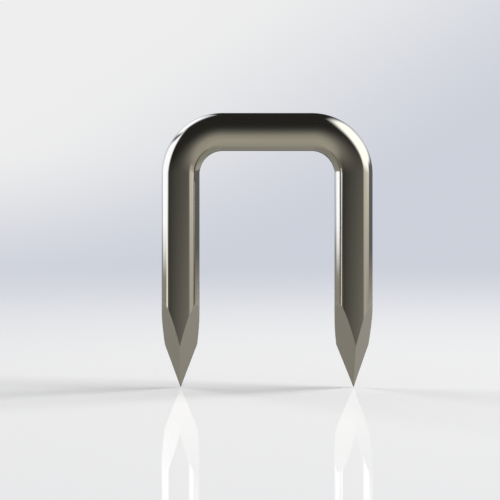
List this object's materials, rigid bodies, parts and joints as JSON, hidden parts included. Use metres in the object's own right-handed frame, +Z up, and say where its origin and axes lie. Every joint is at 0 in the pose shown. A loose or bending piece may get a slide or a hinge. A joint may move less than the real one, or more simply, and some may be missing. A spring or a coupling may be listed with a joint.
{
  "type": "cable staple",
  "caption": "U-shaped round-wire cable staple: a flat crown, rounded bends and parallel legs with three-sided points, driven over a cable to hold it down.",
  "frame": {"origin": "midway between the two tips, on the plane that the tips stand on", "axes": "+Z up from the tips to the crown, X across the two legs, Y through the thickness of the wire with the front edge of each point at -Y"},
  "size_m": [0.0192, 0.0034, 0.0249],
  "materials": {
    "bright_plated_steel": "bright, polished and slightly warm, with faint drawing lines along the wire and ground facets on the points"
  },
  "bodies": {
    "root": {"staple_wire": "bright_plated_steel"}
  },
  "joints": []
}
